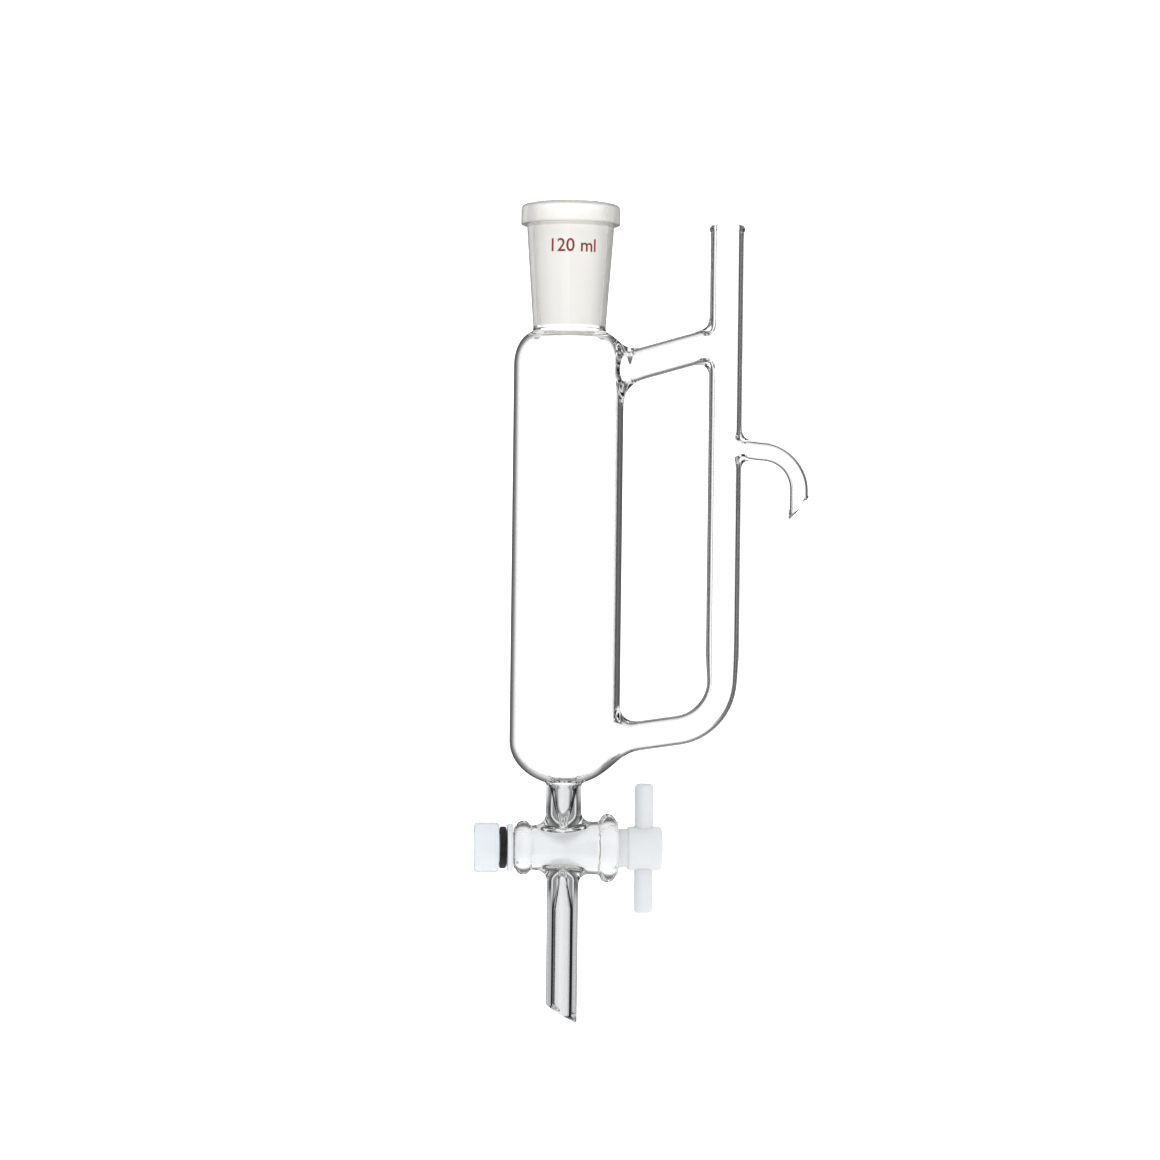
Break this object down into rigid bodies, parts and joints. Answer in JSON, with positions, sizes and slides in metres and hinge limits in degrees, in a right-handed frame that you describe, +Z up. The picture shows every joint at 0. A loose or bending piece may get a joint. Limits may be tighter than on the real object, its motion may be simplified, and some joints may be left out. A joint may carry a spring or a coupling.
{
  "type": "separatory funnel",
  "caption": "Glass oil and water separating receiver: ground socket over a cylinder, side riser with overflow hook, and a PTFE stopcock with a T handle above a bevelled drip stem.",
  "frame": {"origin": "centre of the ground socket's mouth, in the plane of its rim", "axes": "+Z up along the cylinder's axis; +X from the cylinder towards the side riser; +Y completes a right-handed frame"},
  "size_m": [0.11, 0.0362, 0.27],
  "materials": {
    "borosilicate_glass": "clear, fire-polished",
    "ground_glass": "clear outside, finely ground bore",
    "ptfe": "waxy white PTFE",
    "nut_plastic": "milky translucent plastic",
    "black_rubber": "matt",
    "seal_ring": "cream elastomer"
  },
  "bodies": {
    "glassware": {"ground_joint": "ground_glass", "reservoir": "borosilicate_glass", "vapour_arm": "borosilicate_glass", "riser_tube": "borosilicate_glass", "return_bend": "borosilicate_glass", "overflow_hook": "borosilicate_glass", "drain_neck": "borosilicate_glass", "stopcock_barrel": "borosilicate_glass", "drip_stem": "borosilicate_glass"},
    "plug": {"stopcock_plug": "ptfe", "handle_bar": "ptfe", "plug_seal_ring": "seal_ring"},
    "clamp_rings": {"thrust_washer": "ptfe", "rubber_ring": "black_rubber"},
    "nut": {"retaining_nut": "nut_plastic"}
  },
  "joints": [
    {"name": "plug_turn", "type": "hinge", "parent": "glassware", "child": "plug", "pos_m": [0, 0, -0.2122], "axis": [1, 0, 0], "continuous": true},
    {"name": "ring_slide", "type": "slide", "parent": "plug", "child": "clamp_rings", "axis": [-1, 0, 0], "range_m": [0, 0.007]},
    {"name": "nut_unscrew", "type": "hinge", "parent": "clamp_rings", "child": "nut", "pos_m": [-0.025, 0, -0.2122], "axis": [-1, 0, 0], "range_deg": [0, 1260]}
  ],
  "couplings": [
    {"joint": "nut_unscrew", "follows": "ring_slide", "rad_per_m": 3141.6}
  ]
}
